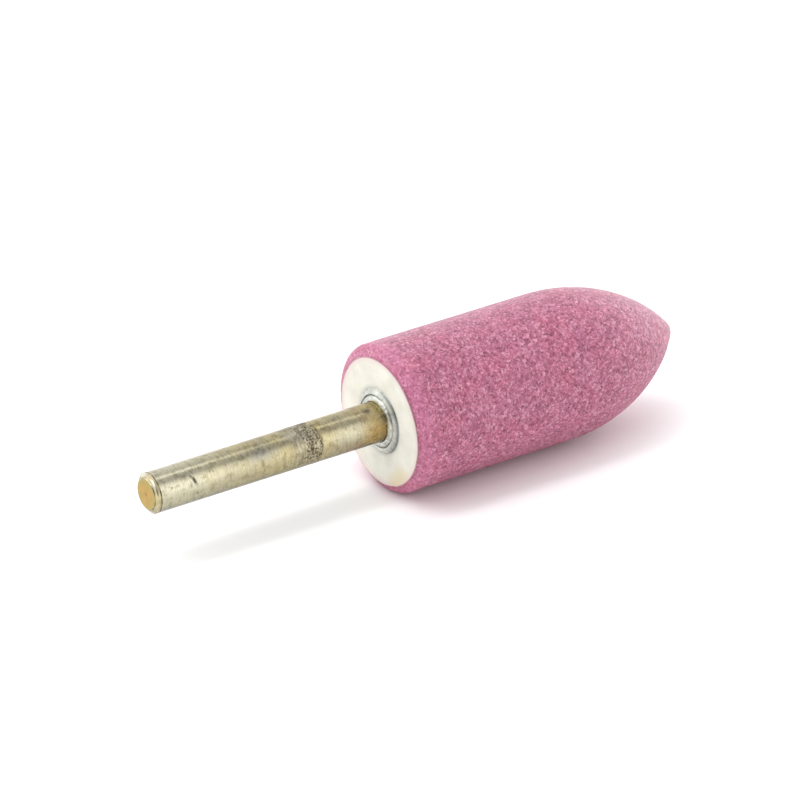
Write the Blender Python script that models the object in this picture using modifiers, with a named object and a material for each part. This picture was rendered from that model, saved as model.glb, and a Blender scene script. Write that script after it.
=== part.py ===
"""Mounted point for a hand grinder.

A vitrified abrasive head, a cylinder with a tangent ogive nose, is cemented on a round steel
spindle. A card disc and a pressed eyelet sit on its flat base.
The axis runs along +X, from the centre of the spindle's free end at the origin to the nose.
The part lies on the side of its head, so the floor is one head radius below the axis.
"""

import math

import bmesh
import bpy

# Abrasive head, in metres
HEAD_R = 0.0111
BODY_LENGTH = 0.0289
NOSE_LENGTH = 0.0219
NOSE_TIP_R = 0.0021
BASE_EDGE_R = 0.0012

# Spindle
SHANK_R = 0.0030
SHANK_FREE = 0.0400
SHANK_CHAMFER = 0.0007
EMBEDDED_LENGTH = 0.0280
EMBEDDED_CHAMFER = 0.0005

# Knurled bands on the embedded end, with a plain groove between them
KNURL_TEETH = 30
KNURL_RISE = 0.00008
KNURL_DEPTH = 0.00026
KNURL_START = 0.0060
KNURL_TIP = 0.0020
KNURL_BEVEL = 0.0004
KNURL_NECK = 0.0002
GROOVE_WIDTH = 0.0030
GROOVE_DEPTH = 0.0006

# Cement sleeve
CEMENT_WALL = 0.0005
CEMENT_END = 0.0006
CEMENT_END_R = 0.0008

# Card disc, whose hole is punched a little above its centre, so that it hangs low
CARD_MARGIN = 0.0015
CARD_THICKNESS = 0.0003
CARD_OFFSET = 0.0004

# Eyelet
EYELET_DEPTH = 0.0015
EYELET_OVERHANG = 0.00107
EYELET_SHEET = 0.0002
EYELET_BEAD = 0.00045
EYELET_LIP_R = 0.00012
EYELET_LIP_RISE = 0.00008

# Fits
CLEARANCE = 0.0003

# Facets round a full turn
HEAD_STEPS = 80
SMALL_STEPS = 48
SHARP_ANGLE = math.radians(35)

# Places along the axis and radii that follow from the sizes above
BASE = SHANK_FREE
BODY_END = BASE + BODY_LENGTH
NOSE_END = BODY_END + NOSE_LENGTH
SPINDLE_END = BASE + EMBEDDED_LENGTH
KNURL_LENGTH = (EMBEDDED_LENGTH - KNURL_START - KNURL_TIP - GROOVE_WIDTH) / 2
KNURL_R = SHANK_R + KNURL_RISE
CEMENT_IN_R = KNURL_R + CLEARANCE
CEMENT_OUT_R = CEMENT_IN_R + CEMENT_WALL
CEMENT_TOP_IN = SPINDLE_END + CLEARANCE
CEMENT_TOP_OUT = CEMENT_TOP_IN + CEMENT_END
BORE_R = CEMENT_OUT_R + CLEARANCE
BORE_END = CEMENT_TOP_OUT + CLEARANCE
BORE_END_R = CEMENT_END_R + CLEARANCE
EYELET_IN_R = SHANK_R + CLEARANCE
EYELET_OUT_R = BORE_R - CLEARANCE
EYELET_FLANGE_R = EYELET_OUT_R + EYELET_OVERHANG
EYELET_END = BASE + EYELET_DEPTH
CEMENT_MOUTH = EYELET_END + CLEARANCE
CARD_R = HEAD_R - CARD_MARGIN
CARD_HOLE_R = EYELET_OUT_R + CLEARANCE
CARD_BACK = BASE - CLEARANCE
CARD_FRONT = CARD_BACK - CARD_THICKNESS
EYELET_SEAT = CARD_FRONT - CLEARANCE


def linear(value):
    """One sRGB channel, 0 to 255, as linear light."""
    value /= 255
    return value / 12.92 if value <= 0.04045 else ((value + 0.055) / 1.055) ** 2.4


def material(name, colour, roughness, metallic=0.0):
    made = bpy.data.materials.new(name)
    made.use_nodes = True
    shader = made.node_tree.nodes["Principled BSDF"]
    shader.inputs["Base Color"].default_value = [linear(c) for c in colour] + [1]
    shader.inputs["Roughness"].default_value = roughness
    shader.inputs["Metallic"].default_value = metallic
    return made


def arc(radius_at, along_at, radius, start, end, segments):
    """Outline points on a circular arc; an angle is turned from the axis towards larger radii."""
    points = []
    for i in range(segments + 1):
        angle = math.radians(start + (end - start) * i / segments)
        points.append((radius_at + radius * math.sin(angle), along_at + radius * math.cos(angle)))
    return points


def nose_outline():
    """The nose from its tip down: a ball end that runs into an arc tangent to the cylinder."""
    ball = NOSE_END - NOSE_TIP_R
    reach = ball - BODY_END
    ogive_r = (reach ** 2 + HEAD_R ** 2 - NOSE_TIP_R ** 2) / (2 * (HEAD_R - NOSE_TIP_R))
    meet = 90 - math.degrees(math.atan2(ogive_r - HEAD_R, reach))
    tip = arc(0, ball, NOSE_TIP_R, 0, meet, 5)
    flank = arc(HEAD_R - ogive_r, BODY_END, ogive_r, meet, 90, 16)
    return tip + flank[1:]


def head_outline():
    """The whole head from the nose down its side, across the base and up the blind bore."""
    edge = arc(HEAD_R - BASE_EDGE_R, BASE + BASE_EDGE_R, BASE_EDGE_R, 90, 180, 5)
    bore = [(BORE_R, BASE)]
    bore += arc(BORE_R - BORE_END_R, BORE_END - BORE_END_R, BORE_END_R, 90, 0, 4)
    return nose_outline() + edge + bore + [(0, BORE_END)]


def spindle_outline():
    """The spindle from its embedded end down to the free end, necked under each knurled band."""
    neck_r = KNURL_R - KNURL_DEPTH - KNURL_NECK
    points = [(0, SPINDLE_END), (SHANK_R - EMBEDDED_CHAMFER, SPINDLE_END)]
    points.append((SHANK_R, SPINDLE_END - EMBEDDED_CHAMFER))
    for start in (KNURL_START + KNURL_LENGTH + GROOVE_WIDTH, KNURL_START):
        top = BASE + start + KNURL_LENGTH - KNURL_BEVEL
        bottom = BASE + start + KNURL_BEVEL
        points += [(SHANK_R, top), (neck_r, top), (neck_r, bottom), (SHANK_R, bottom)]
        if start > KNURL_START:
            groove_top = BASE + start - GROOVE_DEPTH / 2
            groove_bottom = BASE + start - GROOVE_WIDTH + GROOVE_DEPTH / 2
            points += [(SHANK_R, groove_top), (SHANK_R - GROOVE_DEPTH, groove_top - GROOVE_DEPTH)]
            points += [(SHANK_R - GROOVE_DEPTH, groove_bottom + GROOVE_DEPTH), (SHANK_R, groove_bottom)]
    points += [(SHANK_R, SHANK_CHAMFER), (SHANK_R - SHANK_CHAMFER, 0), (0, 0)]
    return points


def cement_outline():
    """A sleeve between the bore and the spindle, closed past the spindle's end."""
    points = [(0, CEMENT_TOP_OUT)]
    points += arc(CEMENT_OUT_R - CEMENT_END_R, CEMENT_TOP_OUT - CEMENT_END_R, CEMENT_END_R, 0, 90, 4)
    points += [(CEMENT_OUT_R, CEMENT_MOUTH), (CEMENT_IN_R, CEMENT_MOUTH)]
    points += [(CEMENT_IN_R, CEMENT_TOP_IN), (0, CEMENT_TOP_IN)]
    return points


def plug_outline(radius, top, bottom):
    """A plain round plug between two places on the axis."""
    return [(0, top), (radius, top), (radius, bottom), (0, bottom)]


def eyelet_outline():
    """A barrel in the bore's mouth, and a flange rolled up into a bead and a small inner lip."""
    lip_out_r = EYELET_IN_R + 2 * EYELET_LIP_R
    half = (EYELET_FLANGE_R - lip_out_r) / 2
    points = [(EYELET_OUT_R, EYELET_END), (EYELET_OUT_R, EYELET_SEAT), (EYELET_FLANGE_R, EYELET_SEAT)]
    for i in range(11):
        angle = math.pi * i / 10
        rise = EYELET_SHEET + EYELET_BEAD * math.sin(angle)
        points.append((lip_out_r + half * (1 + math.cos(angle)), EYELET_SEAT - rise))
    lip_at = EYELET_SEAT - EYELET_SHEET - EYELET_LIP_RISE
    points += arc(EYELET_IN_R + EYELET_LIP_R, lip_at, EYELET_LIP_R, 90, 270, 4)
    return points + [(EYELET_IN_R, EYELET_END)]


def finish(obj, surface):
    """Fixes the modifiers into the mesh and shades it smooth between its sharp edges."""
    bpy.context.view_layer.update()
    graph = bpy.context.evaluated_depsgraph_get()
    obj.data = bpy.data.meshes.new_from_object(obj.evaluated_get(graph))
    obj.modifiers.clear()
    obj.data.name = obj.name
    obj.data.materials.clear()
    obj.data.materials.append(surface)
    obj.data.shade_smooth()
    obj.data.set_sharp_from_angle(angle=SHARP_ANGLE)


def turned(name, outline, steps, closed=False):
    """Turns an outline of (radius, place) points about the axis. A flat facet faces the floor."""
    angle = math.pi / steps
    shape = bmesh.new()
    verts = [shape.verts.new((r * math.cos(angle), r * math.sin(angle), at)) for r, at in outline]
    for first, second in zip(verts, verts[1:]):
        shape.edges.new((first, second))
    if closed:
        shape.edges.new((verts[-1], verts[0]))
    mesh = bpy.data.meshes.new(name)
    shape.to_mesh(mesh)
    shape.free()
    obj = bpy.data.objects.new(name, mesh)
    screw = obj.modifiers.new("Turn", "SCREW")
    screw.axis = "Z"
    screw.angle = math.tau
    screw.steps = steps
    screw.render_steps = steps
    screw.use_merge_vertices = True
    screw.merge_threshold = 0.00001
    return obj


def knurl(name, start):
    """A band of straight V teeth round the spindle, bevelled at both ends."""
    root_r = KNURL_R - KNURL_DEPTH
    shape = bmesh.new()
    levels = (0, KNURL_BEVEL, KNURL_LENGTH - KNURL_BEVEL, KNURL_LENGTH)
    rings = []
    for level in levels:
        whole = level in levels[1:3]
        ring = bmesh.ops.create_circle(shape, segments=2 * KNURL_TEETH, radius=root_r)["verts"]
        for i, vert in enumerate(ring):
            vert.co.z = start + level
            if not whole:
                vert.co.xy *= (root_r - KNURL_BEVEL / 2) / root_r
            elif i % 2:
                vert.co.xy *= KNURL_R / root_r
        rings.append([edge for edge in shape.edges if all(v in ring for v in edge.verts)])
    for lower, upper in zip(rings, rings[1:]):
        bmesh.ops.bridge_loops(shape, edges=lower + upper)
    bmesh.ops.holes_fill(shape, edges=shape.edges[:], sides=2 * KNURL_TEETH)
    bmesh.ops.recalc_face_normals(shape, faces=shape.faces[:])
    mesh = bpy.data.meshes.new(name)
    shape.to_mesh(mesh)
    shape.free()
    return bpy.data.objects.new(name, mesh)


def combine(piece, tool, operation):
    """Joins a tool body to a piece, or cuts it away. The tool itself isn't part of the object."""
    tools.objects.link(tool)
    tool.parent = axis
    tool.hide_render = True
    tool.display_type = "WIRE"
    step = piece.modifiers.new(tool.name, "BOOLEAN")
    step.operation = operation
    step.object = tool


for old in list(bpy.data.objects):
    bpy.data.objects.remove(old, do_unlink=True)

parts = bpy.data.collections.new("mounted_point")
tools = bpy.data.collections.new("knurls_and_cutters")
bpy.context.scene.collection.children.link(parts)
bpy.context.scene.collection.children.link(tools)

# Everything is drawn about this empty's Z axis, which lies along +X
axis = bpy.data.objects.new("axis", None)
axis.rotation_euler = (0, math.pi / 2, 0)
parts.objects.link(axis)

head = turned("abrasive_head", head_outline(), HEAD_STEPS)
spindle = turned("spindle", spindle_outline(), SMALL_STEPS)
cement = turned("bond_cement", cement_outline(), SMALL_STEPS)
card = turned("label_disc", plug_outline(CARD_R, CARD_BACK, CARD_FRONT), HEAD_STEPS)
eyelet = turned("eyelet", eyelet_outline(), SMALL_STEPS, closed=True)
card.location.x = CARD_OFFSET
for piece in (head, spindle, cement, card, eyelet):
    parts.objects.link(piece)
    piece.parent = axis

for number, start in enumerate((KNURL_START, KNURL_START + KNURL_LENGTH + GROOVE_WIDTH)):
    combine(spindle, knurl(f"knurl_{number + 1}", BASE + start), "UNION")
punch = plug_outline(CARD_HOLE_R, CARD_BACK + CARD_THICKNESS, CARD_FRONT - CARD_THICKNESS)
combine(card, turned("card_punch", punch, SMALL_STEPS), "DIFFERENCE")

finish(head, material("rose corundum", (199, 124, 153), 0.92))
finish(spindle, material("yellow passivated steel", (196, 184, 152), 0.34, 1.0))
finish(cement, material("bonding cement", (176, 168, 156), 0.95))
finish(card, material("white card", (235, 234, 226), 0.7))
finish(eyelet, material("zinc plated sheet", (198, 203, 206), 0.3, 1.0))
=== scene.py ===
import math

import bpy
import numpy as np
from mathutils import Matrix, Vector


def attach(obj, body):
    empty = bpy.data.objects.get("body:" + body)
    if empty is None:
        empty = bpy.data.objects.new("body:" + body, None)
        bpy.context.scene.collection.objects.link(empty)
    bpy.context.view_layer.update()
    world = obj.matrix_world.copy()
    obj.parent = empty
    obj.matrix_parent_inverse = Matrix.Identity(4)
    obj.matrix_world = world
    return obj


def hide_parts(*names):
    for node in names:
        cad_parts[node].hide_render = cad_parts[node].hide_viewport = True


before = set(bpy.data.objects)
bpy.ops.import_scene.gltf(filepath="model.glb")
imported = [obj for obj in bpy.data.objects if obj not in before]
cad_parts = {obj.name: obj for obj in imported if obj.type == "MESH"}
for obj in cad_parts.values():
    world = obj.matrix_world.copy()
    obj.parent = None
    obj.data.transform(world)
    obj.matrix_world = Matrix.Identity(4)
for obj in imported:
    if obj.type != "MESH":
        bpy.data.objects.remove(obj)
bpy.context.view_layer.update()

# The abrasive head. Pink fused alumina grit is pressed into a mould with a glassy clay bond and fired, which
# leaves an open, matt skin of packed grains. It is one piece: a cylinder, an ogive nose and a blind bore.

# Sizes are in millimetres, and places are measured along X from the spindle's free end.
MM = 0.001
HEAD_RADIUS = 11.1
BASE_AT = 40.0
BASE_SWELL = 0.25
BASE_EDGE = 0.95
PAD_AT = 39.46
PAD_RADIUS = 9.75
BORE_AT = 69.2
BORE_RADIUS = 4.18
NOSE_FROM = 68.9
NOSE_AT = 90.8
TIP_RADIUS = 2.1
TIP_START = 4
POLE_RADIUS = 0.3
HEAD_COLUMNS = 340
HEAD_PITCH = 0.22
BASE_PITCH = 0.12
HIDDEN_PITCH = 2.0
GRIT = 0.42
GRAIN_RISE = 0.045
GRAIN_MIDDLE = 0.55
GRAIN_LEAST = 0.4
GRAIN_SEED = 11
LUMP_RISE = 0.03
LUMPS = ((1.6, 1.0, 21), (5.0, 0.6, 22))
SKIN_SINK = 0.02


def path(*parts):
    """Joins runs of (place, radius) points into one outline, dropping the repeated point at each joint."""
    points = np.concatenate([parts[0]] + [part[1:] for part in parts[1:]])
    return points[:, 0], points[:, 1]


def line(start, end, pitch):
    """Evenly spaced points from start to end, about one pitch apart."""
    count = max(2, int(round(math.dist(start, end) / pitch)) + 1)
    return np.linspace(start, end, count)


def runs(*corners):
    """Straight runs through corners of place, radius and the pitch of the points up to the next corner."""
    return [line(start[:2], end[:2], start[2]) for start, end in zip(corners, corners[1:])]


def arc(centre, radius, start, end, pitch):
    """Points on a circle: place = centre + r cos(angle), radius = centre + r sin(angle), angles in degrees."""
    count = max(3, int(round(abs(math.radians(end - start)) * radius / pitch)) + 1)
    angle = np.radians(np.linspace(start, end, count))
    return np.stack([centre[0] + radius * np.cos(angle), centre[1] + radius * np.sin(angle)], axis=1)


def hashed(cells, seed):
    """A number from 0 to 1 for each whole-number cell: its coordinates are mixed by large odd factors."""
    mixed = cells.astype(np.int64) * np.array([73856093, 19349663, 83492791]) + seed * 2654435761
    value = (mixed[..., 0] ^ mixed[..., 1] ^ mixed[..., 2]) & 0xFFFFFFFF
    for _ in range(2):
        value = ((value ^ (value >> 16)) * 0x45D9F3B) & 0xFFFFFFFF
    return ((value ^ (value >> 16)) & 0xFFFFFF) / 0xFFFFFF


def grains(points, size, seed):
    """Packed grains: each point's distance to the nearest grain centre, over the grain size, and that grain's
    own number from 0 to 1. Each cell of a lattice holds one centre at a hashed place."""
    scaled = points / size
    cell = np.floor(scaled)
    nearest = np.full(points.shape[:-1], 9.0)
    number = np.zeros(points.shape[:-1])
    for step in np.ndindex(3, 3, 3):
        other = cell + np.array(step) - 1
        centre = other + np.stack([hashed(other, seed + k) for k in range(3)], axis=-1)
        distance = np.linalg.norm(scaled - centre, axis=-1)
        closer = distance < nearest
        nearest = np.where(closer, distance, nearest)
        number = np.where(closer, hashed(other, seed + 3), number)
    return nearest, number


def cloud(points, size, seed):
    """Smooth noise from 0 to 1: hashed values at the corners of a lattice, blended with eased weights."""
    scaled = points / size
    cell = np.floor(scaled)
    part = scaled - cell
    part = part * part * (3 - 2 * part)
    total = np.zeros(points.shape[:-1])
    for step in np.ndindex(2, 2, 2):
        corner = np.array(step)
        weight = np.prod(np.where(corner == 1, part, 1 - part), axis=-1)
        total += weight * hashed(cell + corner, seed)
    return total


def turned_points(place, radius, columns):
    """Turns an outline about X: y = -r cos(roll), z = r sin(roll), with roll from the front edge up."""
    roll = np.arange(columns) * math.tau / columns
    x = np.repeat(place[:, None], columns, axis=1)
    return np.stack([x, -radius[:, None] * np.cos(roll), radius[:, None] * np.sin(roll)], axis=-1)


def outward(place, radius, columns):
    """The outline's own normal, turned with it: a quarter turn from the outline's direction."""
    along, across = np.gradient(place), np.gradient(radius)
    length = np.hypot(along, across)
    return turned_points(across / length, -along / length, columns)


def turned_mesh(name, points, looped=False):
    """A mesh from a grid of turned points, rows down the outline. End rows close in a pole unless the rows loop."""
    rows, columns = points.shape[:2]
    row = np.arange(rows if looped else rows - 1)[:, None]
    column = np.arange(columns)[None, :]
    below, beside = (row + 1) % rows, (column + 1) % columns
    quads = np.stack([row * columns + column, below * columns + column, below * columns + beside,
                      row * columns + beside], axis=-1).reshape(-1, 4)
    verts = points.reshape(-1, 3)
    faces = [quads]
    if not looped:
        poles = np.stack([points[0].mean(axis=0), points[-1].mean(axis=0)])
        ring = np.arange(columns)
        last = (rows - 1) * columns
        first_pole, last_pole = len(verts), len(verts) + 1
        faces.append(np.stack([np.full(columns, first_pole), ring, (ring + 1) % columns], axis=1))
        faces.append(np.stack([np.full(columns, last_pole), last + (ring + 1) % columns, last + ring], axis=1))
        verts = np.concatenate([verts, poles])
    mesh = bpy.data.meshes.new(name)
    sizes = np.concatenate([np.full(len(part), part.shape[1]) for part in faces])
    corners = np.concatenate([part.ravel() for part in faces])
    mesh.vertices.add(len(verts))
    mesh.vertices.foreach_set("co", (verts * MM).astype(np.float32).ravel())
    mesh.loops.add(len(corners))
    mesh.loops.foreach_set("vertex_index", corners.astype(np.int32))
    mesh.polygons.add(len(sizes))
    mesh.polygons.foreach_set("loop_start", np.concatenate([[0], np.cumsum(sizes)[:-1]]).astype(np.int32))
    mesh.update(calc_edges=True)
    mesh.validate()
    mesh.shade_smooth()
    return mesh


def mark_points(mesh, title, field, grid, poles=2):
    """Stores a field from 0 to 1 as an attribute of the mesh's points. The poles, if any, get 0."""
    layer = mesh.attributes.new(title, "FLOAT", "POINT")
    values = np.broadcast_to(field, grid).ravel()
    layer.data.foreach_set("value", np.append(values, [0] * poles).astype(np.float32))


def place_piece(name, mesh, material, slot, *nodes):
    """Puts a finished mesh into the scene as a piece of the root body that stands for CAD nodes."""
    piece = bpy.data.objects.new(name, mesh)
    bpy.context.scene.collection.objects.link(piece)
    mesh.materials.append(material)
    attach(piece, "root")
    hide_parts(*nodes)


def linear(code):
    """An sRGB hex colour as linear red, green, blue and alpha."""
    channels = [int(code[i:i + 2], 16) / 255 for i in (0, 2, 4)]
    return [c / 12.92 if c <= 0.04045 else ((c + 0.055) / 1.055) ** 2.4 for c in channels] + [1.0]


def add(tree, kind, inputs=None, stops=None, **settings):
    """Adds a node with its settings, its input values or links, and a ramp's stops."""
    made = tree.nodes.new("ShaderNode" + kind)
    for name, value in settings.items():
        setattr(made, name, value)
    for socket, value in (inputs or {}).items():
        if isinstance(value, bpy.types.NodeSocket):
            tree.links.new(value, made.inputs[socket])
        else:
            made.inputs[socket].default_value = value
    for i, (at, colour) in enumerate(stops or ()):
        ramp = made.color_ramp.elements
        stop = ramp[i] if i < 2 else ramp.new(at)
        stop.position = at
        stop.color = colour
    return made


def new_material(name, **constants):
    """A Principled material with its constants on its own sockets. Gives it back with its tree and shader."""
    material = bpy.data.materials.new(name)
    material.use_nodes = True
    tree = material.node_tree
    shader = tree.nodes["Principled BSDF"]
    for socket, value in constants.items():
        shader.inputs[socket.replace("_", " ")].default_value = value
    return material, tree, shader


def millimetres(tree):
    """Object coordinates in millimetres, so that each pattern's scale is one over a real size."""
    place = add(tree, "TexCoord")
    return add(tree, "VectorMath", {0: place.outputs["Object"], "Scale": 1 / MM}, operation="SCALE").outputs[0]


# The ogive's circle is tangent to the cylinder at NOSE_FROM and to the small ball of the tip.
base_at = BASE_AT - BASE_SWELL
ball_at = NOSE_AT - TIP_RADIUS
reach = ball_at - NOSE_FROM
ogive = (reach ** 2 + HEAD_RADIUS ** 2 - TIP_RADIUS ** 2) / (2 * (HEAD_RADIUS - TIP_RADIUS))
meet = math.degrees(math.atan2(ogive - HEAD_RADIUS, reach))
skin = path(
    arc((ball_at, 0), TIP_RADIUS, TIP_START, meet, HEAD_PITCH),
    arc((NOSE_FROM, HEAD_RADIUS - ogive), ogive, meet, 90, HEAD_PITCH),
    line((NOSE_FROM, HEAD_RADIUS), (base_at + BASE_EDGE, HEAD_RADIUS), HEAD_PITCH),
    arc((base_at + BASE_EDGE, HEAD_RADIUS - BASE_EDGE), BASE_EDGE, 90, 180, HEAD_PITCH),
    line((base_at, HEAD_RADIUS - BASE_EDGE), (PAD_AT, PAD_RADIUS), BASE_PITCH),
)
inside = path(*runs(
    (PAD_AT, PAD_RADIUS, 0.6),
    (PAD_AT, BORE_RADIUS, HIDDEN_PITCH),
    (BORE_AT, BORE_RADIUS, HIDDEN_PITCH),
    (BORE_AT, POLE_RADIUS, 0),
))
head_place, head_radius = (np.concatenate(ends) for ends in zip(skin, inside))
head_points = turned_points(head_place, head_radius, HEAD_COLUMNS)
centre_distance, grain_number = grains(head_points, GRIT, GRAIN_SEED)
lumps = sum(share * (cloud(head_points, size, seed) - 0.5) for size, share, seed in LUMPS)
relief = GRAIN_RISE * (GRAIN_MIDDLE - centre_distance) * (GRAIN_LEAST + grain_number)
relief += LUMP_RISE * lumps - SKIN_SINK
relief[len(skin[0]):] = 0
facing = outward(head_place, head_radius, HEAD_COLUMNS)
head_points = head_points + relief[..., None] * facing

# Vitrified rose corundum: matt packed grit. Most grains are rose, some pale or dark, the mix drifts a little
# from place to place, and it is paler and more even by the base's edge. The skin scatters white light at grazing
# angles, and its sheen is raised on the upper side as painted top light, which whitens the top.
RIM_FADE = (40.2, 42.6)
RIM_SHARE = 0.25
TOP_SHEEN_LEVEL = 0.4
TOP_SHEEN_SLOPE = 1.2
SHEEN = (0.03, 0.24)

corundum, tree, shader = new_material(
    "vitrified rose corundum", Roughness=0.5, Sheen_Roughness=0.45, Specular_IOR_Level=0.45)
where = millimetres(tree)
coarse = add(tree, "TexVoronoi", {"Vector": where, "Scale": 1 / GRIT, "Randomness": 1.0})
fine = add(tree, "TexVoronoi", {"Vector": where, "Scale": 1 / (0.55 * GRIT), "Randomness": 1.0})
coarse_number = add(tree, "SeparateColor", {0: coarse.outputs["Color"]}).outputs[0]
fine_number = add(tree, "SeparateColor", {0: fine.outputs["Color"]}).outputs[1]
coarse_tone = add(tree, "ValToRGB", {0: coarse_number}, stops=(
    (0.0, linear("6C2844")), (0.15, linear("893F5C")), (0.35, linear("A65776")),
    (0.65, linear("B96A87")), (0.88, linear("CA8099")), (1.0, linear("DEA9BB"))))
fine_tone = add(tree, "ValToRGB", {0: fine_number}, stops=(
    (0.0, linear("672440")), (0.3, linear("9C4C6A")), (0.7, linear("B96A87")), (1.0, linear("DCA4B6"))))
both = add(tree, "Mix", {"Factor": 0.5, 6: coarse_tone.outputs[0], 7: fine_tone.outputs[0]}, data_type="RGBA")
patches = add(tree, "TexNoise", {"Vector": where, "Scale": 0.3, "Detail": 4.0, "Roughness": 0.6})
patch_tone = add(tree, "ValToRGB", {0: patches.outputs[0]}, stops=(
    (0.35, linear("FFF1F4")), (0.5, linear("FAF6F8")), (0.65, linear("F8FAFC"))))
drift = add(tree, "Mix", {"Factor": 1.0, 6: both.outputs[2], 7: patch_tone.outputs[0]},
            data_type="RGBA", blend_type="MULTIPLY")
place_x = add(tree, "SeparateXYZ", {0: where}).outputs[0]
rim = add(tree, "MapRange", {"Value": place_x, "From Min": RIM_FADE[0], "From Max": RIM_FADE[1],
                             "To Min": RIM_SHARE, "To Max": 0.0})
skin_tone = add(tree, "Mix", {"Factor": rim.outputs[0], 6: drift.outputs[2], 7: linear("DF82AA")},
                data_type="RGBA")
tree.links.new(skin_tone.outputs[2], shader.inputs["Base Color"])
height = add(tree, "Math", {0: coarse.outputs["Distance"], 1: fine.outputs["Distance"]}, operation="ADD")
bump = add(tree, "Bump", {"Height": height.outputs[0], "Strength": 0.6, "Distance": 0.06 * MM}, invert=True)
tree.links.new(bump.outputs[0], shader.inputs["Normal"])
# Painted top light: the sheen weight is higher where the skin faces up.
sheen_weight = add(tree, "MapRange", {"Value": add(tree, "Attribute", attribute_name="top_sheen").outputs["Fac"],
                                "To Min": SHEEN[0], "To Max": SHEEN[1]})
tree.links.new(sheen_weight.outputs[0], shader.inputs["Sheen Weight"])

head_mesh = turned_mesh("pink_head", head_points)
# How far the skin faces up sets its sheen: painted top light that whitens the upper side.
top_sheen = np.clip(TOP_SHEEN_LEVEL + TOP_SHEEN_SLOPE * facing[..., 2], 0, 1)
mark_points(head_mesh, "top_sheen", top_sheen, head_points.shape[:2])
place_piece("pink_head", head_mesh, corundum, "abrasive_head", "abrasive_head")

# The spindle. A 6 mm round steel pin, ground, chamfered at its free end and yellow passivated after plating.
# Its other end is knurled in two bands and cemented 28 mm deep in the head, where nothing shows, so the outline
# here leaves it plain. It is scuffed where a chuck held it.

SHANK_RADIUS = 3.0
CHAMFER = 0.7
FACE_AT = 0.12
RIDGE_PITCH = 0.34
RIDGE_RISE = 0.035
GROOVE = (0.76, 0.90)
GROOVE_DEPTH = 0.05
SPINDLE_END = 68.0
END_CHAMFER = 0.5
SPINDLE_COLUMNS = 192
DENT_DEPTH = 0.08
BAND_AT = 27.65

face_radius = SHANK_RADIUS - CHAMFER
groove_radius = SHANK_RADIUS - GROOVE_DEPTH
spindle_place, spindle_radius = path(*runs(
    (SPINDLE_END, POLE_RADIUS, HIDDEN_PITCH),
    (SPINDLE_END, SHANK_RADIUS - END_CHAMFER, 0.5),
    (SPINDLE_END - END_CHAMFER, SHANK_RADIUS, 0.5),
    (BASE_AT + 2.0, SHANK_RADIUS, 0.1),
    (GROOVE[1], SHANK_RADIUS, 0.03),
    (GROOVE[1] - 0.04, groove_radius, 0.03),
    (GROOVE[0] + 0.03, groove_radius, 0.03),
    (GROOVE[0], SHANK_RADIUS, 0.035),
    (FACE_AT + 0.05, face_radius + 0.02, 0.03),
    (FACE_AT, face_radius - 0.05, 0.12),
    (FACE_AT, 0.05, 0),
))
on_chamfer = (spindle_place < GROOVE[0]) & (spindle_radius > face_radius)
spindle_radius = spindle_radius + on_chamfer * RIDGE_RISE * np.sin(spindle_place * math.tau / RIDGE_PITCH)
spindle_points = turned_points(spindle_place, spindle_radius, SPINDLE_COLUMNS)
roll = np.degrees(np.arange(SPINDLE_COLUMNS) * math.tau / SPINDLE_COLUMNS)[None, :]
along = spindle_place[:, None]


def spot(at, turned, long_half, wide_half, lean=0.0):
    """A soft mark from 0 to 1 on the shank: exp(-1.5 d^2), where d is 1 on an ellipse round (place, roll)."""
    across = ((roll - turned + 180) % 360 - 180) * math.radians(1) * SHANK_RADIUS
    reach_2 = ((along - at - lean * across) / long_half) ** 2 + (across / wide_half) ** 2
    return np.exp(-1.5 * reach_2)


def spots(*rows, over=0.0):
    """Soft marks on top of what they lie over, up to 1. Each row is an amount and then spot's own values."""
    return np.clip(over + sum(amount * spot(*shape) for amount, *shape in rows), 0, 1)


def ramp_up(value, start, end):
    """0 before start, 1 after end, straight between."""
    return np.clip((value - start) / (end - start), 0, 1)
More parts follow.
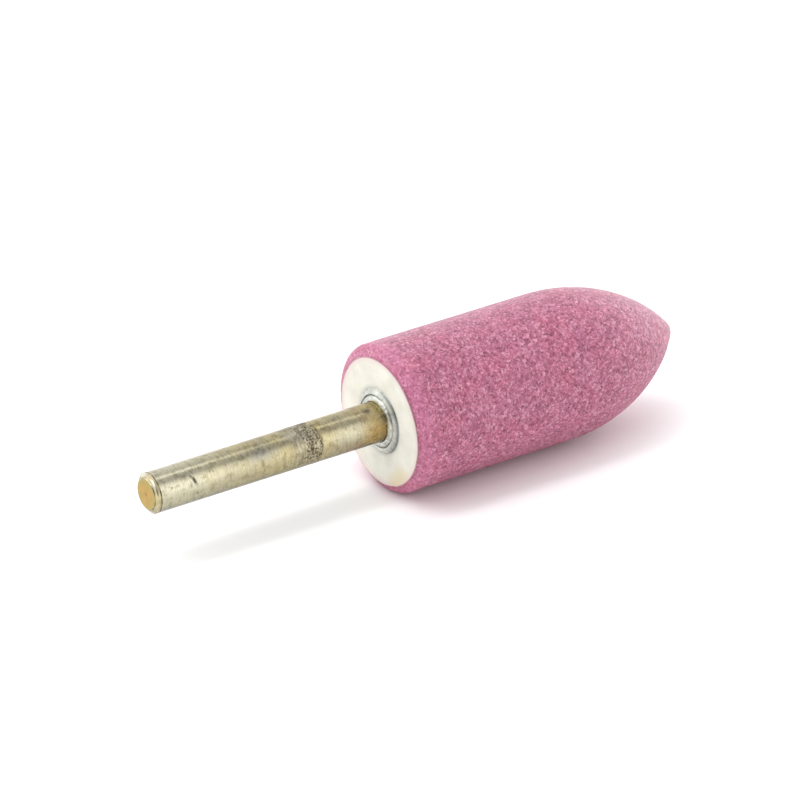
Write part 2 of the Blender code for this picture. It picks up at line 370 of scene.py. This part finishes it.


# What has marked the steel, from 0 to 1: worn bare at the free end, scuffed and pitted by a chuck up to
# BAND_AT, and stained where it enters the head. Painted shade makes it darker along its underside, and darker still at
# its lower edge.
free = (along < BASE_AT) & (along > GROOVE[1])
past_face = spindle_radius[:, None] > face_radius
from_below = np.abs((roll + 270) % 360 - 180)
band_end = BAND_AT + 0.25 * np.sin(np.radians(roll * 2 + 40)) + 0.3 * cloud(spindle_points, 0.5, 33)
in_groove = (along > GROOVE[0] - 0.01) & (along < GROOVE[1] + 0.01) & past_face
round_face = (along < FACE_AT + 0.1) & (spindle_radius[:, None] > face_radius - 0.12)
marks = {
    "bare": spots((0.6, 32.5, 12, 4.0, 2.6), over=ramp_up(along, 17, 6)) * free,
    "grey": spots((1.0, 17.6, 42, 2.8, 1.2), (0.8, 24.6, 62, 3.6, 1.9))
            * ramp_up(along, band_end, band_end - 0.8) * free,
    "stain": spots((1.4, 37.2, -10, 2.0, 1.7), over=0.35 * ramp_up(along, 35.5, 38.8)) * free,
    "olive": spots((1.0, 38.2, 80, 1.2, 2.2)) * free,
    "blotch": spots((1.4, 36.5, 68, 0.6, 0.5), (0.5, 35.0, 70, 1.1, 0.4)) * free,
    "scuff": (0.14 * ramp_up(along, 6, 14) + 0.56 * ramp_up(along, 21.5, 25) + 0.3 * ramp_up(along, 23, 26))
             * ramp_up(along, band_end, band_end - 0.3)
             * (0.35 + 0.65 * ramp_up(np.sin(np.radians(roll + 25)), -0.2, 0.2)) * free,
    # Painted shade: darker along the underside, and darker still at the lower edge, below.
    "painted_underside_shade": ramp_up(from_below, 110, 85) * free,
    "painted_lower_edge_shade": ramp_up(from_below, 61, 43) * free,
    # Painted highlights on the chamfer, and two small pale scratch marks on the shank.
    "painted_glint": spots((1.0, 0.42, 52, 0.13, 1.1), (1.0, 0.5, 118, 0.3, 0.9), (0.8, 34.9, 62, 0.14, 0.12),
                   (0.7, 34.3, 60, 0.2, 0.12)) * past_face,
    "pits_and_shade": spots((1.4, 6.45, 29, 0.24, 0.75, -0.25), (0.8, 6.05, 44, 0.2, 0.35), (1.0, 2.75, 27.9, 0.14, 0.14),
                  (0.9, 5.7, 53.4, 0.25, 0.22), (0.9, 6.7, -8.2, 0.14, 0.3), (0.5, 5.9, 20, 0.16, 0.5),
                  # The last spot, low on the shank at 36 mm, is painted shade by the lower edge, not a pit.
                  (0.5, 17.9, -6, 0.12, 0.3), (0.7, 36.0, -36, 1.0, 0.3)) * free,
    "cut": ((along <= GROOVE[0]) & past_face) * ramp_up(cloud(spindle_points * np.array([2, 1, 1]), 0.9, 36), 0.3, 0.6),
    # Darker in the groove behind the chamfer and on part of the end face's rim.
    "dark_lines": in_groove * ramp_up(cloud(spindle_points, 0.8, 34), 0.2, 0.5)
            + round_face * ramp_up(cloud(spindle_points, 0.7, 35), 0.3, 0.6)
            * ramp_up(np.cos(np.radians(roll + 15)), 0.2, 0.6),
}
dents = -DENT_DEPTH * marks["pits_and_shade"]
spindle_points = spindle_points + dents[..., None] * outward(spindle_place, spindle_radius, SPINDLE_COLUMNS)
spindle_mesh = turned_mesh("steel_spindle", spindle_points)
for title, field in marks.items():
    mark_points(spindle_mesh, title, field, spindle_points.shape[:2])

# Ground steel with a thin yellow chromate film: gold where the film is whole and grey where it has rubbed off,
# with rings from grinding and a fine mottle. Each layer is a mark's name, colour, share and added roughness.
LAYERS = (
    ("bare", "D3CFBA", 0.8, -0.03), ("grey", "9A9C9C", 0.6, 0.05), ("stain", "D6AC62", 0.75, 0.05),
    # The underside and lower-edge layers are painted shade.
    ("olive", "8A7F4C", 0.55, 0.05), ("painted_underside_shade", "8C8568", 0.42, 0.0), ("blotch", "5E5B56", 0.85, 0.1),
    ("scuff", "A09A88", 0.25, 0.1), ("dark drag", "6E685C", 0.5, 0.1), ("pale drag", "DCD4BA", 0.35, 0.0),
    # The pits layer also holds one painted shade by the lower edge.
    ("painted_lower_edge_shade", "2E2A20", 0.72, 0.0), ("specks", "4C4338", 0.8, 0.25), ("pits_and_shade", "453F34", 0.9, 0.2),
    # The glint layer is a painted highlight.
    ("cut", "A79F8B", 0.75, 0.1), ("painted_glint", "F8F4E6", 0.9, 0.0), ("dark_lines", "4E4838", 0.9, 0.15),
)

steel, tree, shader = new_material("yellow passivated ground steel", Metallic=1.0)
where = millimetres(tree)
rings = add(tree, "Mapping", {"Vector": where, "Scale": (4.5, 0.5, 0.5)})
ring_noise = add(tree, "TexNoise", {"Vector": rings.outputs[0], "Scale": 1.0, "Detail": 4.0, "Roughness": 0.6})
mottle = add(tree, "TexNoise", {"Vector": where, "Scale": 1.1, "Detail": 5.0, "Roughness": 0.65})
film = add(tree, "TexNoise", {"Vector": where, "Scale": 0.3, "Detail": 4.0, "Roughness": 0.6})
tone = add(tree, "ValToRGB", {0: film.outputs[0]}, stops=(
    (0.35, linear("B2AA8E")), (0.5, linear("BCB18F")), (0.65, linear("C3B68A")))).outputs[0]
ring_tone = add(tree, "ValToRGB", {0: ring_noise.outputs[0]}, stops=(
    (0.3, linear("E2E0D8")), (0.55, linear("FFFFFF"))))
mottle_tone = add(tree, "ValToRGB", {0: mottle.outputs[0]}, stops=(
    (0.35, linear("DAD8D0")), (0.5, linear("FFFFFF"))))
texture = add(tree, "Mix", {"Factor": 1.0, 6: ring_tone.outputs[0], 7: mottle_tone.outputs[0]},
              data_type="RGBA", blend_type="MULTIPLY").outputs[2]
rough = add(tree, "MapRange", {"Value": mottle.outputs[0], "From Min": 0.35, "From Max": 0.65,
                               "To Min": 0.18, "To Max": 0.30}).outputs[0]

# The more scuffed the steel, the lower the bar that the speck noise has to pass, so the denser the specks.
scuffed = add(tree, "Attribute", attribute_name="scuff").outputs["Fac"]
speck_noise = add(tree, "TexNoise", {"Vector": where, "Scale": 3.6, "Detail": 3.0, "Roughness": 0.65}).outputs[0]
bar = add(tree, "Math", {0: scuffed, 1: -0.25, 2: 0.735}, operation="MULTIPLY_ADD").outputs[0]
over_bar = add(tree, "Math", {0: speck_noise, 1: bar}, operation="SUBTRACT").outputs[0]
specks = add(tree, "Math", {0: over_bar, 1: 12.0}, operation="MULTIPLY", use_clamp=True).outputs[0]
gate = add(tree, "Math", {0: scuffed, 1: 8.0}, operation="MULTIPLY", use_clamp=True).outputs[0]
specks = add(tree, "Math", {0: specks, 1: gate}, operation="MULTIPLY").outputs[0]
dull_band = add(tree, "MapRange", {"Value": scuffed, "From Min": 0.2, "From Max": 0.7}).outputs[0]
drag = add(tree, "Mapping", {"Vector": where, "Scale": (2.7, 0.35, 0.35)})
drag_noise = add(tree, "TexNoise", {"Vector": drag.outputs[0], "Scale": 1.0, "Detail": 2.0, "Roughness": 0.6})
amounts = {"specks": specks, "scuff": dull_band}
for title, start, end in (("dark drag", 0.52, 0.62), ("pale drag", 0.48, 0.38)):
    streaks = add(tree, "MapRange", {"Value": drag_noise.outputs[0], "From Min": start, "From Max": end})
    amounts[title] = add(tree, "Math", {0: streaks.outputs[0], 1: dull_band}, operation="MULTIPLY").outputs[0]
for title, colour, share, dull in LAYERS:
    if title in amounts:
        amount = amounts[title]
    else:
        amount = add(tree, "Attribute", attribute_name=title).outputs["Fac"]
    part = add(tree, "Math", {0: amount, 1: share}, operation="MULTIPLY").outputs[0]
    tone = add(tree, "Mix", {"Factor": part, 6: tone, 7: linear(colour)}, data_type="RGBA").outputs[2]
    rough = add(tree, "Math", {0: amount, 1: dull, 2: rough}, operation="MULTIPLY_ADD").outputs[0]
worked = add(tree, "Mix", {"Factor": 1.0, 6: tone, 7: texture}, data_type="RGBA", blend_type="MULTIPLY")
tree.links.new(worked.outputs[2], shader.inputs["Base Color"])
tree.links.new(rough, shader.inputs["Roughness"])
fine_bump = add(tree, "Bump", {"Height": ring_noise.outputs[0], "Strength": 0.15, "Distance": 0.02 * MM})
bump = add(tree, "Bump", {"Height": mottle.outputs[0], "Strength": 0.35, "Distance": 0.03 * MM,
                          "Normal": fine_bump.outputs[0]})
bump = add(tree, "Bump", {"Height": specks, "Strength": 0.5, "Distance": 0.03 * MM, "Normal": bump.outputs[0]},
           invert=True)
tree.links.new(bump.outputs[0], shader.inputs["Normal"])

# The sawn end face keeps a thicker, duller film than the ground sides, with a brown dot at its centre, a
# greener rim and faint turning rings.
TURNING = 38.0  # radians in a millimetre, which is a ring each 0.165 mm

ochre, tree, shader = new_material("ochre passivated end face", Metallic=0.6, Roughness=0.5)
where = millimetres(tree)
centre = add(tree, "VectorMath", {0: where}, operation="LENGTH").outputs["Value"]
film = add(tree, "TexNoise", {"Vector": where, "Scale": 0.9, "Detail": 4.0, "Roughness": 0.6})
face_tone = add(tree, "ValToRGB", {0: film.outputs[0]}, stops=(
    (0.35, linear("AC9650")), (0.6, linear("BB9856"))))
dot = add(tree, "MapRange", {"Value": centre, "From Min": 0.1, "From Max": 0.5, "To Min": 0.7, "To Max": 0.0})
rim = add(tree, "MapRange", {"Value": centre, "From Min": 1.6, "From Max": 2.25, "To Min": 0.0, "To Max": 0.75})
dotted = add(tree, "Mix", {"Factor": dot.outputs[0], 6: face_tone.outputs[0], 7: linear("96622C")},
             data_type="RGBA").outputs[2]
rimmed = add(tree, "Mix", {"Factor": rim.outputs[0], 6: dotted, 7: linear("A39C66")}, data_type="RGBA").outputs[2]
tree.links.new(rimmed, shader.inputs["Base Color"])
turned = add(tree, "Math", {0: centre, 1: TURNING}, operation="MULTIPLY").outputs[0]
turning = add(tree, "Math", {0: turned}, operation="SINE")
bump = add(tree, "Bump", {"Height": turning.outputs[0], "Strength": 0.3, "Distance": 0.005 * MM})
tree.links.new(bump.outputs[0], shader.inputs["Normal"])

place_piece("steel_spindle", spindle_mesh, steel, "spindle", "spindle")
spindle_mesh.materials.append(ochre)
centres = np.empty(len(spindle_mesh.polygons) * 3, np.float32)
spindle_mesh.polygons.foreach_get("center", centres)
spindle_mesh.polygons.foreach_set("material_index", (centres[::3] < (FACE_AT + 0.02) * MM).astype(np.int32))

# The card disc. White coated card, punched out with its hole a little off centre and pasted on the base. Its
# edge is cut a little ragged, and it lies in a slight wave.

CARD_RADIUS = 9.6
CARD_BACK = 39.42
CARD_FRONT = 39.3
CARD_CENTRE = (-0.08, -0.26)
CARD_HOLE = 4.3
CARD_ROUND = 0.04
CARD_RAG = 0.03
CARD_WAVE = 0.05
CARD_COLUMNS = 300
IN_PLANE = np.array([0, 1, 1])

card_place, card_radius = path(*runs(
    (CARD_BACK, CARD_HOLE, 0.5),
    (CARD_BACK, CARD_RADIUS - CARD_ROUND, 0.1),
    (CARD_BACK - CARD_ROUND, CARD_RADIUS, 0.1),
    (CARD_FRONT + CARD_ROUND, CARD_RADIUS, 0.1),
    (CARD_FRONT, CARD_RADIUS - CARD_ROUND, 0.2),
    (CARD_FRONT, CARD_HOLE, 0),
))
card_points = turned_points(card_place, card_radius, CARD_COLUMNS)
outer = ((card_radius - CARD_HOLE) / (CARD_RADIUS - CARD_HOLE))[:, None]
flat_points = card_points * IN_PLANE
edge_noise = 0.6 * cloud(flat_points, 3.0, 42) + 0.4 * cloud(flat_points, 0.7, 43)
ragged = 1 + CARD_RAG * outer * (edge_noise - 0.5)
card_points[..., 1:] = card_points[..., 1:] * ragged[..., None] + outer[..., None] * np.array(CARD_CENTRE)
card_points[..., 0] += CARD_WAVE * (cloud(card_points * IN_PLANE, 4.0, 41) - 0.5)

# White coated card: smooth and matt, with a fine paper tooth, a grey ring close round the eyelet, yellow glue
# stains low on one side and pink grit dust near its edge; its edge is darkened with painted shade. Each
# stain is a place, the distances at which it is full and gone, and a colour.
STAINS = (
    ((0, -5.9, -7.4), 0.4, 3.0, "D4BA5C"), ((0, -4.0, -8.9), 0.2, 2.4, "DAC47E"),
    ((0, 0, 0), 4.9, 5.5, "B4B3AE"), ((0, 4.5, -8.6), 0.2, 2.5, "DCD3C4"),
)

card_stock, tree, shader = new_material("white coated card", Roughness=0.6)
where = millimetres(tree)
tooth = add(tree, "TexNoise", {"Vector": where, "Scale": 4.0, "Detail": 4.0, "Roughness": 0.6})
smudge = add(tree, "TexNoise", {"Vector": where, "Scale": 0.35, "Detail": 5.0, "Roughness": 0.6})
paper = add(tree, "ValToRGB", {0: smudge.outputs[0]}, stops=(
    (0.35, linear("DFDCD0")), (0.6, linear("EAE8DD")))).outputs[0]
flat = add(tree, "VectorMath", {0: where, 1: (0, 1, 1)}, operation="MULTIPLY").outputs[0]
for middle, full, gone, colour in STAINS:
    away = add(tree, "VectorMath", {0: flat, 1: middle}, operation="DISTANCE").outputs["Value"]
    close = add(tree, "MapRange", {"Value": away, "From Min": full, "From Max": gone, "To Min": 1.0, "To Max": 0.0})
    part = add(tree, "Math", {0: close.outputs[0], 1: smudge.outputs[0]}, operation="MULTIPLY").outputs[0]
    paper = add(tree, "Mix", {"Factor": part, 6: paper, 7: linear(colour)}, data_type="RGBA").outputs[2]
away = add(tree, "VectorMath", {0: flat, 1: (0, *CARD_CENTRE)}, operation="DISTANCE").outputs["Value"]
rim = add(tree, "MapRange", {"Value": away, "From Min": 8.6, "From Max": CARD_RADIUS, "To Min": 0.0, "To Max": 0.9})
dusty = add(tree, "Math", {0: rim.outputs[0], 1: smudge.outputs[0]}, operation="MULTIPLY").outputs[0]
paper = add(tree, "Mix", {"Factor": dusty, 6: paper, 7: linear("DDB2BC")}, data_type="RGBA").outputs[2]
# Painted shade: the outermost rim of the card is darkened.
painted_edge_shade = add(tree, "MapRange", {"Value": away, "From Min": 9.42, "From Max": CARD_RADIUS,
                               "To Min": 0.0, "To Max": 0.6}).outputs[0]
paper = add(tree, "Mix", {"Factor": painted_edge_shade, 6: paper, 7: linear("8A5F58")}, data_type="RGBA").outputs[2]
tree.links.new(paper, shader.inputs["Base Color"])
bump = add(tree, "Bump", {"Height": tooth.outputs[0], "Strength": 0.25, "Distance": 0.02 * MM})
tree.links.new(bump.outputs[0], shader.inputs["Normal"])

place_piece("card_disc", turned_mesh("card_disc", card_points, looped=True), card_stock, "label_disc", "label_disc")

# The eyelet. Thin zinc plated steel, drawn into a short barrel that stands in the bore's mouth, with its flange
# rolled into a cone that holds the card down and a small lip turned up round the spindle.

EYELET_END = 41.5
EYELET_WALL = (3.01, 3.75)
EYELET_SHIFT = -0.15
EYELET_OUTER = 4.95
EYELET_COLUMNS = 240
LIP_OUTER = 3.92
LIP_NICKS = 0.1
FLANGE_WAVES = 0.06
FLANK_AT = 4.82
FLANGE = ((39.34, 4.92), (39.33, 4.97), (39.13, 4.77), (38.98, 4.55), (38.78, 4.18), (38.84, 4.02), (39.00, 3.95),
          (38.98, 3.88), (38.84, 3.80), (38.69, 3.62), (38.58, 3.32), (38.59, 3.02), (38.86, 3.01))


def rounded(corners, passes):
    """Cuts every corner of an outline a quarter of the way along its sides, again and again, which rounds it."""
    points = np.array(corners)
    for _ in range(passes):
        early = 0.75 * points[:-1] + 0.25 * points[1:]
        late = 0.25 * points[:-1] + 0.75 * points[1:]
        inner = np.stack([early, late], axis=1).reshape(-1, 2)
        points = np.concatenate([points[:1], inner, points[-1:]])
    return points


flange_back = FLANGE[0][0]
eyelet_place, eyelet_radius = path(
    *runs(
        (EYELET_END, EYELET_WALL[0], 0.3),
        (EYELET_END, EYELET_WALL[1], 0.5),
        (flange_back + 0.15, EYELET_WALL[1], 0.2),
        (flange_back, EYELET_WALL[1] + 0.25, 0.3),
        (*FLANGE[0], 0),
    ),
    rounded(FLANGE, 3),
    line(FLANGE[-1], (EYELET_END - 0.3, EYELET_WALL[0]), 0.4),
)
eyelet_points = turned_points(eyelet_place, eyelet_radius, EYELET_COLUMNS)
flat_points = eyelet_points * IN_PLANE
on_lip = ramp_up(eyelet_radius, LIP_OUTER, LIP_OUTER - 0.15)[:, None]
nicks = LIP_NICKS * (cloud(flat_points, 0.4, 52) - 0.5) * on_lip
waves = FLANGE_WAVES * (cloud(flat_points, 2.2, 51) - 0.5)
eyelet_points[..., 0] += ramp_up(eyelet_place, 39.3, 38.9)[:, None] * (nicks + waves)
eyelet_points[..., 1] += EYELET_SHIFT * ramp_up(eyelet_radius, EYELET_WALL[1], EYELET_OUTER)[:, None]

# Bright zinc plate: pale and glossy, with faint drawing marks, darker in the valley, and painted shade on one side of
# the flank.
zinc, tree, shader = new_material("zinc plated pressed steel", Metallic=1.0)
where = millimetres(tree)
drawn = add(tree, "TexNoise", {"Vector": where, "Scale": 1.4, "Detail": 4.0, "Roughness": 0.6})
zinc_tone = add(tree, "ValToRGB", {0: drawn.outputs[0]}, stops=(
    (0.35, linear("ACAFA9")), (0.65, linear("CDCEC5"))))
zinc_rough = add(tree, "MapRange", {"Value": drawn.outputs[0], "From Min": 0.35, "From Max": 0.65,
                                    "To Min": 0.22, "To Max": 0.36})
# The mark darkens the valley and puts painted shade on one side of the flank.
dark_valley_and_shaded_flank = add(tree, "Attribute", attribute_name="dark_valley_and_shaded_flank").outputs["Fac"]
darkened_zinc = add(tree, "Mix", {"Factor": dark_valley_and_shaded_flank, 6: zinc_tone.outputs[0], 7: linear("4C4E50")}, data_type="RGBA")
tree.links.new(darkened_zinc.outputs[2], shader.inputs["Base Color"])
tree.links.new(zinc_rough.outputs[0], shader.inputs["Roughness"])
bump = add(tree, "Bump", {"Height": drawn.outputs[0], "Strength": 0.3, "Distance": 0.04 * MM})
tree.links.new(bump.outputs[0], shader.inputs["Normal"])

eyelet_mesh = turned_mesh("zinc_eyelet", eyelet_points, looped=True)
turn = np.arange(EYELET_COLUMNS) * math.tau / EYELET_COLUMNS
valley = np.exp(-((eyelet_radius - LIP_OUTER) / 0.07) ** 2)[:, None]
# Painted shade on the flank, on one side only.
flank = np.exp(-((eyelet_radius - FLANK_AT) / 0.2) ** 2)[:, None] * ramp_up(np.cos(turn - math.radians(20)), -0.1, 0.7)
darkened = np.clip(0.75 * valley + 0.7 * flank, 0, 1)
mark_points(eyelet_mesh, "dark_valley_and_shaded_flank", darkened, eyelet_points.shape[:2], poles=0)
place_piece("zinc_eyelet", eyelet_mesh, zinc, "eyelet", "eyelet")

# The cement. A grey-white bonding cement is poured round the spindle's knurled end and cures to a chalky sleeve
# that holds it in the bore. Only its rim could be seen, in the gap behind the eyelet. Its CAD solid stays.

# Cured cement: chalky and quite matt, with fine pores.
cement, tree, shader = new_material("cured bonding cement", Roughness=0.95)
where = millimetres(tree)
pores = add(tree, "TexNoise", {"Vector": where, "Scale": 3.0, "Detail": 6.0, "Roughness": 0.7})
cement_tone = add(tree, "ValToRGB", {0: pores.outputs[0]}, stops=(
    (0.35, linear("8F8678")), (0.65, linear("BDB5A6"))))
tree.links.new(cement_tone.outputs[0], shader.inputs["Base Color"])
bump = add(tree, "Bump", {"Height": pores.outputs[0], "Strength": 0.5, "Distance": 0.1 * MM})
tree.links.new(bump.outputs[0], shader.inputs["Normal"])
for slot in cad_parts["bond_cement"].material_slots:
    slot.material = cement

# The studio. A plain pale floor that the head lies on, and soft light all round from the world: a wide white
# front wall, a narrow strip overhead with darker ceiling either side of it, and a paler back. The walls'
# light goes by the angle round X, in degrees from the front horizon up. Soft lamps and one dark opening change it.

FLOOR_SIZE = 6.0
TOP_LIGHT = 2.5
SKY = ((0, 1.12), (30, 1.12), (42, 1.05), (54, 0.95), (62, 0.62), (84, 0.58), (91, 0.72), (95, 1.6), (102, 1.6),
       (106, 0.7), (116, 0.68), (136, 0.95), (160, 1.02), (180, 1.04))
# Each lamp is its direction, the cosines to it where it starts and is full, and the share of light that it adds.
LAMPS = (
    ((-0.6, -0.78, 0.05), 0.65, 0.88, -0.75),  # a dark opening, where the shank's front mirrors the room
    ((-0.5, 0.6, 0.62), 0.72, 0.95, 1.1),  # behind, on the spindle's side
    ((-0.2, -0.05, 0.98), 0.82, 0.95, 1.3),  # overhead
    ((0.97, 0.2, 0.12), 0.8, 0.97, 2.2),  # beyond the nose
    ((0.504, -0.8, 0.32), 0.85, 0.97, 0.42),  # in front of the nose
    ((-0.82, -0.12, 0.56), 0.965, 0.99, 1.0),  # small, for the chamfer's glint
)

# White painted board: matt, and very slightly uneven.
board, tree, shader = new_material("white painted board", Roughness=1.0, Specular_IOR_Level=0.0)
tint = add(tree, "TexNoise", {"Vector": add(tree, "TexCoord").outputs["Object"], "Scale": 3.0})
board_tone = add(tree, "ValToRGB", {0: tint.outputs[0]}, stops=(
    (0.0, linear("FDFDFD")), (1.0, linear("FFFFFF"))))
tree.links.new(board_tone.outputs[0], shader.inputs["Base Color"])

half = FLOOR_SIZE / 2
low = -HEAD_RADIUS * MM
floor_mesh = bpy.data.meshes.new("floor")
floor_mesh.from_pydata([(-half, -half, low), (half, -half, low), (half, half, low), (-half, half, low)],
                       [], [(0, 1, 2, 3)])
floor_mesh.materials.append(board)
floor = bpy.data.objects.new("floor", floor_mesh)
bpy.context.scene.collection.objects.link(floor)

world = bpy.data.worlds.new("studio")
world.use_nodes = True
bpy.context.scene.world = world
tree = world.node_tree
direction = add(tree, "VectorMath", {0: add(tree, "TexCoord").outputs["Generated"]}, operation="NORMALIZE").outputs[0]
axes = add(tree, "SeparateXYZ", {0: direction})
front = add(tree, "Math", {0: axes.outputs[1], 1: -1.0}, operation="MULTIPLY")
swing = add(tree, "Math", {0: axes.outputs[2], 1: front.outputs[0]}, operation="ARCTAN2")
share = add(tree, "Math", {0: swing.outputs[0], 1: math.pi}, operation="DIVIDE")
walls = add(tree, "ValToRGB", {0: share.outputs[0]}, stops=[
    (angle / 180, [light / TOP_LIGHT] * 3 + [1.0]) for angle, light in SKY]).outputs[0]
for aim, start, full, gain in LAMPS:
    aimed = add(tree, "VectorMath", {0: direction, 1: Vector(aim).normalized()}, operation="DOT_PRODUCT")
    factor = add(tree, "MapRange", {"Value": aimed.outputs["Value"], "From Min": start, "From Max": full,
                                    "To Min": 1.0, "To Max": 1.0 + gain}).outputs[0]
    walls = add(tree, "VectorMath", {0: walls, "Scale": factor}, operation="SCALE").outputs[0]
background = tree.nodes["Background"]
tree.links.new(walls, background.inputs["Color"])
background.inputs["Strength"].default_value = TOP_LIGHT

# The camera: a long lens a little over the object, looking along it from the spindle's side. The eye's place
# is given in millimetres from the middle of the head's base, along the camera's own right, up and back.

CAMERA_TURN = math.radians(34.55)
CAMERA_DROP = math.radians(27.34)
EYE_RIGHT, EYE_UP, EYE_BACK = 2.4364, 2.7347, 799.88
FOCAL_PIXELS = 5612.6
FRAME_PIXELS = 800
SENSOR = 36.0

right = Vector((math.cos(CAMERA_TURN), -math.sin(CAMERA_TURN), 0))
ahead = Vector((math.cos(CAMERA_DROP) * math.sin(CAMERA_TURN), math.cos(CAMERA_DROP) * math.cos(CAMERA_TURN),
                -math.sin(CAMERA_DROP)))
up = right.cross(ahead)
seat = Vector((BASE_AT, 0, 0)) * MM
eye = seat + EYE_RIGHT * MM * right + EYE_UP * MM * up - EYE_BACK * MM * ahead
lens = bpy.data.cameras.new("camera")
lens.sensor_width = SENSOR
lens.lens = SENSOR * FOCAL_PIXELS / FRAME_PIXELS
lens.clip_start = 0.01
camera = bpy.data.objects.new("camera", lens)
camera.matrix_world = Matrix.Translation(eye) @ Matrix((right, up, -ahead)).transposed().to_4x4()
bpy.context.scene.collection.objects.link(camera)
bpy.context.scene.camera = camera
bpy.context.scene.view_settings.view_transform = "Standard"
